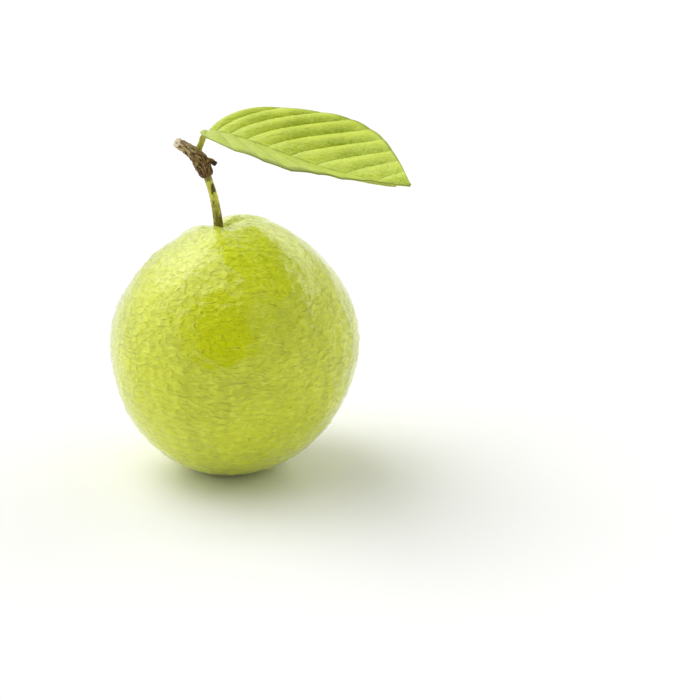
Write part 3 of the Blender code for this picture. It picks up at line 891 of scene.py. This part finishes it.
def stalk_material():
    """Green stalk: long olive grain, brown flecks and a browner root and top."""
    material, graph, sockets = new_material("green_stalk", 0.55, specular=0.35)
    step, blend, noise, cells = graph.step, graph.blend, graph.noise, graph.cells
    grain = attribute(graph, "grain", "Vector")
    gx, gy, gz = graph.parts(grain)
    long_grain = graph.combined(gx, gy, gz * 0.22)
    streaks = noise(long_grain, 0.5 * MM, 3.0, 0.6)
    base = blend(step(streaks, 0.35, 0.68), (182, 180, 58), (232, 228, 114))
    patches = noise(graph.combined(gx, gy, gz * 0.6), 2.6 * MM, 2.0, 0.6)
    flecks = cells(graph.combined(gx, gy, gz * 0.5), 1.5 * MM)
    place = object_place(graph)
    from_bruise = (place - BRUISE_PLACE) * Vector((1, 1, 0.45))
    bruise = graph.measure("LENGTH", from_bruise)
    _, _, height = graph.parts(place)
    root = step(height, 108 * MM, 100 * MM) * step(patches, 0.3, 0.5)
    top = step(height, 113 * MM, 117 * MM)
    layers = (
        (step(patches, 0.54, 0.62) * 0.65, (132, 118, 40)),
        (step(flecks, 0.3, 0.18) * 0.85, (84, 70, 22)),
        (step(bruise, 1.05 * MM, 0.7 * MM) * 0.9, (56, 48, 20)),
        (root * 0.85, (98, 82, 24)),
        (top * 0.7, (84, 62, 36)),
    )
    feed(graph, sockets, "Base Color", layered(graph, base, layers))
    feed(graph, sockets, "Roughness", step(streaks, 0.3, 0.7, 0.45, 0.7))
    relief = streaks - step(flecks, 0.34, 0.2) * 0.6
    feed(graph, sockets, "Normal", bumped(graph, relief, 0.12 * MM))
    return material


def bark_material():
    """Grey-brown bark with long cracks and pale ridges, and a pale cut at the upper end."""
    material, graph, sockets = new_material("twig_bark", 0.85, specular=0.2)
    step, blend, noise = graph.step, graph.blend, graph.noise
    grain = attribute(graph, "grain", "Vector")
    gx, gy, gz = graph.parts(grain)
    long_grain = graph.combined(gx, gy, gz * 0.2)
    streaks = noise(long_grain, 0.6 * MM, 3.0, 0.6)
    cracks = noise(graph.combined(gx, gy, gz * 0.12), 0.34 * MM, 2.0, 0.55)
    clouds = noise(grain, 2.4 * MM, 2.0, 0.6)
    base = blend(step(streaks, 0.38, 0.6), (72, 46, 24), (186, 150, 92))
    place = object_place(graph)
    cut_place = Vector(TWIG_POINTS[-1][0]) * MM
    cut_axis = (cut_place - Vector(TWIG_POINTS[-2][0]) * MM).normalized()
    past_cut = graph.measure("DOT_PRODUCT", place - cut_place, cut_axis)
    rings = graph.measure("LENGTH", (place - cut_place) - past_cut * cut_axis)
    ringed = graph.maths("SINE", rings * (2 * math.pi / (0.45 * MM)) + clouds * 3) * 0.5 + 0.5
    wood = blend(ringed * 0.5, (222, 212, 182), (170, 146, 108))
    pith = step(rings, 0.5 * MM, 0.3 * MM)
    wood = blend(pith * 0.85, wood, (92, 70, 44))
    on_cut = step(past_cut, -0.22 * MM, -0.05 * MM)
    # paler towards the cut end, reddish where the stalk leaves it, and black at the nub's tip
    toward_end = step(past_cut, -11 * MM, -3 * MM) * (1 - on_cut) * step(streaks, 0.38, 0.56)
    low = step(past_cut, -8 * MM, -13 * MM) * step(cracks, 0.64, 0.52)
    from_nub = graph.measure("LENGTH", place - Vector(NUB_POINTS[-1][0]) * MM)
    layers = (
        (step(clouds, 0.42, 0.64) * 0.45, (92, 62, 40)),
        (step(cracks, 0.59, 0.69) * 0.75, (214, 196, 146)),
        (step(cracks, 0.44, 0.36) * 0.9, (34, 22, 14)),
        (on_cut, wood),
        (toward_end * 0.8, (214, 194, 154)),
        (low * 0.7, (70, 46, 34)),
        (step(from_nub, 1.9 * MM, 1.0 * MM) * 0.8, (52, 44, 40)),
    )
    feed(graph, sockets, "Base Color", layered(graph, base, layers))
    feed(graph, sockets, "Normal", bumped(graph, streaks * 1.4 + clouds * 0.4, 0.2 * MM))
    return material


def leaf_material(name, upper, settings):
    """Leaf blade: veins, the net between them and a pale rib, with painted light and shade on its
    panels, near half and edge. The underside is paler and duller.
    """
    roughness, coat = (0.5, 0.3) if upper else (0.7, 0.0)
    material, graph, sockets = new_material(name, roughness, coat, 0.28, 0.2)
    step, blend, noise, cells = graph.step, graph.blend, graph.noise, graph.cells
    place = object_place(graph)
    flat_map = attribute(graph, "leaf_map", "Vector")
    names = ("between", "out", "width", "phase", "far", "net")
    kept = (attribute(graph, "leaf_" + name) for name in names)
    between, out, width, phase, far, cross_net = kept
    deep, body, pale = own_colours(settings, "deep", "body", "vein")
    clouds = noise(place, 9 * MM, 2.0, 0.5)
    grain = noise(place, 0.9 * MM, 3.0, 0.6)
    # painted light and shade: a panel between two side veins is painted pale next to the first and
    # deepening towards the second, as its swell is lit and shaded
    along, _, _ = graph.parts(flat_map)
    shaded = step(phase, 0.25, 0.95) * (far * 0.5 + 0.5)
    shaded = shaded * (graph.bell(along - 46 * MM, 26 * MM) * 0.55 + 0.5)
    outer = step(out, 0.15, 0.6, 0.15, 1.0) * step(out, 1.0, 0.9, 0.7, 1.0)
    base = blend(step(clouds, 0.35, 0.65) * 0.25, body, deep)
    # painted sheen: a pale band just past each side vein, stronger on the far half
    sheen = step(phase, 0.02, 0.07) * step(phase, 0.36, 0.1) * (far * 0.8 + 0.2)
    net = step(cells(flat_map, 1.7 * MM, "DISTANCE_TO_EDGE"), 0.1, 0.02) * 0.25
    crossing = step(cross_net, 0.1, 0.02) * 0.3
    vein_width = step(out, 0.0, 1.0, 0.13, 0.06)
    side_vein = step(between, vein_width, vein_width * 0.35) * step(out, 0.98, 0.85)
    shadow_line = (122, 142, 0) if upper else pale
    line = blend(step(phase, 0.3, 0.7), pale, shadow_line)
    # painted shade: the near half is painted duller, and darker where its edge rolls under
    near = 1 - far
    rolled = step(out, 0.86, 0.96) * step(along, 20 * MM, 40 * MM)
    rolled = rolled * step(along, 88 * MM, 62 * MM)
    from_rib = out * width
    # reddish brown specks at the very base
    x, _, _ = graph.parts(place)
    specks = step(cells(place, 1.3 * MM), 0.3, 0.2) * step(x, -5 * MM, -7.5 * MM)
    layers = (
        (shaded * outer * step(clouds, 0.25, 0.6, 0.55, 1.0), deep),
        (sheen * 0.3, pale),
        (step(grain, 0.45, 0.75) * 0.25, body),
        (net, pale),
        (crossing, pale),
        (side_vein * 0.75, line),
        (near * 0.45, (166, 184, 62)),
        (near * rolled * 0.75, (116, 132, 8)),
        (step(from_rib, 1.0 * MM, 0.5 * MM) * 0.6, (146, 162, 34)),
        (step(from_rib, 0.45 * MM, 0.2 * MM) * 0.8, (214, 220, 120)),
        # painted shade: a dark line along the blade's edge
        (step(out, 0.965, 0.985) * 0.55, (126, 140, 40)),
        (specks * 0.8, (140, 84, 44)),
    )
    if not upper:
        layers += ((0.4, (196, 208, 140)),)
    feed(graph, sockets, "Base Color", layered(graph, base, layers))
    smoothest, roughest = (0.4, 0.56) if upper else (0.62, 0.78)
    feed(graph, sockets, "Roughness", step(grain, 0.3, 0.7, smoothest, roughest))
    height = grain * 0.5 - net * 1.2 - side_vein * 0.7
    feed(graph, sockets, "Normal", bumped(graph, height, 0.12 * MM if upper else -0.12 * MM))
    return material


def petiole_material():
    """Leaf stalk and rib: yellow-green with a fine grain, browner where it leaves the twig."""
    material, graph, sockets = new_material("leaf_rib", 0.5, specular=0.4)
    step, blend, noise, cells = graph.step, graph.blend, graph.noise, graph.cells
    gx, gy, gz = graph.parts(attribute(graph, "grain", "Vector"))
    streaks = noise(graph.combined(gx, gy, gz * 0.2), 0.45 * MM, 3.0, 0.6)
    base = blend(step(streaks, 0.35, 0.65), (160, 160, 40), (206, 208, 92))
    place = object_place(graph)
    x, _, height = graph.parts(place)
    lower = step(x, -8.2 * MM, -10.2 * MM)
    foot = step(height, 127.5 * MM, 126 * MM) * step(x, -9 * MM, -10 * MM)
    specks = step(cells(place, 1.2 * MM), 0.36, 0.24) * step(x, -4 * MM, -7 * MM)
    layers = (
        (lower * 0.35, (150, 146, 30)),
        (foot * 0.6, (110, 84, 40)),
        (specks * 0.55, (128, 84, 40)),
    )
    feed(graph, sockets, "Base Color", layered(graph, base, layers))
    feed(graph, sockets, "Normal", bumped(graph, streaks, 0.1 * MM))
    return material


def floor_material():
    """Plain white studio sweep, a little uneven in tone."""
    material, graph, sockets = new_material("studio_floor", 0.6, specular=0.3)
    blend, noise = graph.blend, graph.noise
    place = object_place(graph)
    cloud = noise(place, 0.4, 2.0)
    white = blend(cloud, (246, 246, 245), (249, 249, 248))
    feed(graph, sockets, "Base Color", white)
    return material


# Settings


def length(label, meaning, millimetres):
    return bpy.props.FloatProperty(
        name=label, description=meaning, default=millimetres * MM, unit="LENGTH"
    )


def shade(label, meaning, *colour):
    return bpy.props.FloatVectorProperty(
        name=label, description=meaning, default=linear(*colour), size=4, subtype="COLOR"
    )


def brightness(label, meaning, amount):
    return bpy.props.FloatProperty(
        name=label, description="Brightness of " + meaning, default=amount, subtype="FACTOR"
    )


class GuavaFruitSettings(bpy.types.PropertyGroup):
    waist_radius: length("Waist Radius", "From the fruit's middle to its widest skin", 47.2)
    pole_radius: length("Pole Radius", "From the fruit's middle to its two ends", 50.6)
    centre_height: length("Centre Height", "Height of the middle over the resting spot", 49.6)
    stem_hollow: length("Stem Hollow", "Depth of the hollow round the stalk", 1.4)
    stem_dip: length("Stem Dip", "Depth of the wide dip round that hollow", 2.0)
    calyx_hollow: length("Calyx Hollow", "Depth of the hollow at the blossom end", 3.6)
    lump_height: length("Lump Height", "How uneven the body is", 0.55)
    ripple_height: length("Ripple Height", "How high the skin's ripples stand", 0.46)
    pit_depth: length("Pit Depth", "How deep the skin's small pits are", 0.09)
    deep_colour: shade("Deep Colour", "The greener skin", 182, 194, 0)
    body_colour: shade("Body Colour", "Most of the skin", 219, 228, 0)
    pale_colour: shade("Pale Colour", "The paler mottles", 226, 235, 50)


class GuavaStemSettings(bpy.types.PropertyGroup):
    sepal_reach: length("Sepal Reach", "From the middle of the calyx to a sepal's tip", 6.9)
    sepal_curl: length("Sepal Curl", "How far a sepal's tip lifts off the skin", 1.0)
    bark_height: length("Bark Height", "How rough the twig's bark is", 0.22)
    stalk_height: length("Stalk Roughness", "How uneven the green stalk is", 0.1)


class GuavaLeafSettings(bpy.types.PropertyGroup):
    half_width: length("Half Width", "From the rib to the edge at the widest place", 27.3)
    fold: bpy.props.FloatProperty(
        name="Fold",
        description="How far each half rises from flat",
        default=math.radians(17.75),
        subtype="ANGLE",
    )
    vein_pairs: bpy.props.IntProperty(
        name="Vein Pairs", description="Side veins on each half", default=VEIN_PAIRS
    )
    quilt_height: length("Quilt Height", "How far the blade swells between veins", 1.2)
    net_height: length("Net Height", "Relief of the fine net of veins", 0.35)
    deep_colour: shade("Deep Colour", "The greener places", 154, 176, 0)
    body_colour: shade("Body Colour", "Most of the blade", 208, 225, 64)
    vein_colour: shade("Vein Colour", "The side veins", 216, 231, 104)


class GuavaStageSettings(bpy.types.PropertyGroup):
    room: brightness("Room", "the room overhead", 0.62)
    front: brightness("Front", "the room behind the camera", 0.05)
    walls: brightness("Walls", "the white walls around", 0.7)
    left: brightness("Left", "the soft panel at the upper left", 1.15)
    right: brightness("Right", "the soft panel at the upper right", 1.6)


# Operators


class GUAVA_OT_fruit(bpy.types.Operator):
    """Grow the fruit's body and skin"""

    bl_idname = "guava.fruit"
    bl_label = "Fruit"

    def execute(self, context):
        sizes = context.scene.guava_fruit
        values = {**sizes_of(sizes, FRUIT_SIZES), "Material": skin_material(sizes)}
        finished(grown("guava_fruit", fruit_tree(), values), "fruit", "skin")
        return {"FINISHED"}


def calyx_matrix():
    """Places the calyx: its own Z out of the fruit, at the floor of the blossom hollow."""
    sizes = bpy.context.scene.guava_fruit
    pole_share = abs(CALYX_DIRECTION.z) ** POLE_SHARPNESS
    radius = sizes.waist_radius + (sizes.pole_radius - sizes.waist_radius) * pole_share
    for azimuth, elevation, height, spread in SWELLS:
        away = CALYX_DIRECTION.angle(from_angles(azimuth, elevation))
        radius += height * MM * math.exp(-((away / math.radians(spread)) ** 2))
    floor = Vector((0, 0, sizes.centre_height)) + CALYX_DIRECTION * (radius - sizes.calyx_hollow)
    turn = CALYX_DIRECTION.to_track_quat("Z", "Y").to_matrix().to_4x4()
    return Matrix.Translation(floor) @ turn


class GUAVA_OT_calyx(bpy.types.Operator):
    """Grow the dried sepals at the blossom end"""

    bl_idname = "guava.calyx"
    bl_label = "Calyx"

    def execute(self, context):
        sizes = context.scene.guava_stem
        brown = sepal_material()
        values = {
            "Sepals": SEPALS,
            "Reach": sizes.sepal_reach,
            "Hollow": context.scene.guava_fruit.calyx_hollow,
            "Curl": sizes.sepal_curl,
            "Seed": 3,
            "Material": brown,
        }
        sepals = grown("guava_sepals", sepal_tree(), values)
        shell = sepals.modifiers.new("Thickness", "SOLIDIFY")
        shell.thickness = SEPAL_THICKNESS
        shell.offset = 0
        pieces = [plain(sepals)]
        for name, points in (("guava_disc", DISC_POINTS), ("guava_style", STYLE_POINTS)):
            tube = stem(
                name, points, brown, step=0.2 * MM, sides=48, ridges=10, ridge_height=0.08 * MM,
                ring_height=0.0, ring_spacing=1 * MM, roughness_height=0.14 * MM,
                roughness_size=0.8 * MM,
            )
            pieces.append(tube)
        calyx = in_one(pieces, "guava_calyx")
        calyx.data.transform(calyx_matrix())
        finished(calyx, "calyx", "dried_sepals")
        return {"FINISHED"}


def plain(piece):
    """Makes a piece's modifiers part of its mesh."""
    seen = bpy.context.evaluated_depsgraph_get()
    mesh = bpy.data.meshes.new_from_object(piece.evaluated_get(seen))
    piece.modifiers.clear()
    old = piece.data
    piece.data = mesh
    bpy.data.meshes.remove(old)
    return piece


class GUAVA_OT_stalk(bpy.types.Operator):
    """Grow the green fruit stalk"""

    bl_idname = "guava.stalk"
    bl_label = "Fruit Stalk"

    def execute(self, context):
        rough = context.scene.guava_stem.stalk_height
        stalk = stem(
            "guava_stalk", STALK_POINTS, stalk_material(), step=0.18 * MM, sides=72, ridges=6,
            ridge_height=rough * 0.6, ring_height=0.0, ring_spacing=4 * MM,
            roughness_height=rough, roughness_size=0.9 * MM,
        )
        finished(stalk, "fruit_stalk", "green_stalk")
        return {"FINISHED"}


class GUAVA_OT_twig(bpy.types.Operator):
    """Grow the piece of woody twig and its nub"""

    bl_idname = "guava.twig"
    bl_label = "Twig"

    def execute(self, context):
        rough = context.scene.guava_stem.bark_height
        bark = bark_material()
        sizes = {"step": 0.12 * MM, "ridges": 9}
        sizes.update({"roughness_height": rough, "roughness_size": 0.75 * MM})
        twig = stem(
            "guava_twig", TWIG_POINTS, bark, sides=120, ridge_height=rough * 0.6,
            ring_height=0.2 * MM, ring_spacing=2.6 * MM, **sizes,
        )
        nub = stem(
            "guava_nub", NUB_POINTS, bark, sides=60, ridge_height=0.06 * MM,
            ring_height=0.1 * MM, ring_spacing=1.2 * MM, **sizes,
        )
        finished(in_one([twig, nub], "guava_twig"), "twig", "bark")
        return {"FINISHED"}


class GUAVA_OT_leaf(bpy.types.Operator):
    """Grow the leaf: blade, side veins, rib and leaf stalk"""

    bl_idname = "guava.leaf"
    bl_label = "Leaf"

    def execute(self, context):
        sizes = context.scene.guava_leaf
        upper = leaf_material("leaf_upper", True, sizes)
        under = leaf_material("leaf_under", False, sizes)
        shape = {**sizes_of(sizes, (*LEAF_SIZES, *LEAF_COUNTS)), "Material": upper}
        blade = grown("guava_leaf_blade", blade_tree(), shape)
        if sum(face.normal.z for face in blade.data.polygons) < 0:
            blade.data.flip_normals()
        blade.data.materials.append(under)
        shell = blade.modifiers.new("Thickness", "SOLIDIFY")
        shell.thickness = BLADE_THICKNESS
        shell.offset = 0
        shell.material_offset = 1
        finished(plain(blade), "leaf", "leaf_blade")

        shape.update({"Net Height": 0.0, "Material": under})
        shape.update({"Vein Radius": 0.42 * MM, "Drop": 0.22 * MM})
        veins = grown("guava_leaf_veins", vein_tree(), shape)
        finished(veins, "leaf", "leaf_blade")

        rib = stem(
            "guava_leaf_rib", rib_and_petiole_points(), petiole_material(), step=0.25 * MM,
            sides=48, ridges=4, ridge_height=0.04 * MM, ring_height=0.0, ring_spacing=3 * MM,
            roughness_height=0.06 * MM, roughness_size=0.7 * MM,
        )
        finished(rib, "leaf", "leaf_blade")
        return {"FINISHED"}


def studio_world(settings):
    """White walls around, large soft panels at the upper left and right, and darker in front."""
    world = bpy.data.worlds.new("studio")
    world.use_nodes = True
    graph = Graph(world.node_tree)
    toward = graph.node("ShaderNodeTexCoord", output="Generated")
    x, y, z = graph.parts(toward)
    ahead = graph.measure("DOT_PRODUCT", toward, from_angles(-98, 29))
    step = graph.step
    room = settings.room + step(ahead, 0.7, 0.95) * (settings.front - settings.room)
    walls = step(z, 0.55, 0.25) * step(ahead, 0.94, 0.6) * step(x, 0.2, 0.7, 1.0, 0.4)
    walls = walls * step(y, 0.2, 0.8, 1.0, 0.5)
    left = step(x + y * 0.27, 0.05, -0.03) * step(z, 0.25, 0.5) * step(y, -0.55, -0.25)
    right = step(x + y * 0.75, 0.74, 0.9) * step(z, 0.3, 0.5) * step(y, -0.5, -0.1)
    panel = left
    # the left panel's own lamp is a brighter spot in it
    lamp = graph.measure("DOT_PRODUCT", toward, from_angles(148, 52.8))
    left = left + step(lamp, 0.9, 0.985) * 1.6
    # the room is darker in the gap between the two panels
    gap = (1 - panel) * (1 - right) * step(z, 0.6, 0.8)
    room = room * (1 - gap * 0.45)
    light = room + walls * settings.walls + left * settings.left + right * settings.right
    sky = world.node_tree.nodes["Background"]
    sky.inputs["Color"].default_value = (1, 1, 1, 1)
    graph.tree.links.new(light.socket, sky.inputs["Strength"])
    return world


class GUAVA_OT_stage(bpy.types.Operator):
    """Set up the pale floor, the soft studio light and the camera"""

    bl_idname = "guava.stage"
    bl_label = "Stage"

    def execute(self, context):
        settings = context.scene.guava_stage
        mesh = bpy.data.meshes.new("floor")
        signs = ((-1, -1), (1, -1), (1, 1), (-1, 1))
        corners = [(x * FLOOR_HALF, y * FLOOR_HALF, 0) for x, y in signs]
        mesh.from_pydata(corners, [], [(0, 1, 2, 3)])
        mesh.materials.append(floor_material())
        floor = bpy.data.objects.new("floor", mesh)
        context.scene.collection.objects.link(floor)

        context.scene.world = studio_world(settings)

        lens = bpy.data.cameras.new("camera")
        lens.lens = CAMERA_LENS
        lens.sensor_width = 36
        lens.clip_start = 0.01
        camera = bpy.data.objects.new("camera", lens)
        camera.location = CAMERA_PLACE
        camera.rotation_euler = Euler((CAMERA_TILT, 0, 0))
        context.scene.collection.objects.link(camera)
        context.scene.camera = camera
        context.scene.view_settings.view_transform = "Standard"
        return {"FINISHED"}


class GUAVA_PT_pieces(bpy.types.Panel):
    bl_label = "Whole Guava"
    bl_space_type = "VIEW_3D"
    bl_region_type = "UI"
    bl_category = "Guava"

    def draw(self, context):
        for piece in PIECES:
            self.layout.operator(piece.bl_idname)
        for group in GROUPS:
            settings = getattr(context.scene, group)
            box = self.layout.box()
            for name in settings.bl_rna.properties.keys():
                if name not in ("rna_type", "name"):
                    box.prop(settings, name)


PIECES = (
    GUAVA_OT_fruit,
    GUAVA_OT_calyx,
    GUAVA_OT_stalk,
    GUAVA_OT_twig,
    GUAVA_OT_leaf,
    GUAVA_OT_stage,
)
GROUPS = {
    "guava_fruit": GuavaFruitSettings,
    "guava_stem": GuavaStemSettings,
    "guava_leaf": GuavaLeafSettings,
    "guava_stage": GuavaStageSettings,
}


def register():
    for group, settings in GROUPS.items():
        bpy.utils.register_class(settings)
        setattr(bpy.types.Scene, group, bpy.props.PointerProperty(type=settings))
    for piece in (*PIECES, GUAVA_PT_pieces):
        bpy.utils.register_class(piece)


def unregister():
    for piece in (GUAVA_PT_pieces, *reversed(PIECES)):
        bpy.utils.unregister_class(piece)
    for group, settings in GROUPS.items():
        delattr(bpy.types.Scene, group)
        bpy.utils.unregister_class(settings)


def main():
    register()
    bpy.ops.guava.fruit()
    bpy.ops.guava.calyx()
    bpy.ops.guava.stalk()
    bpy.ops.guava.twig()
    bpy.ops.guava.leaf()
    bpy.ops.guava.stage()


if __name__ == "__main__":
    main()
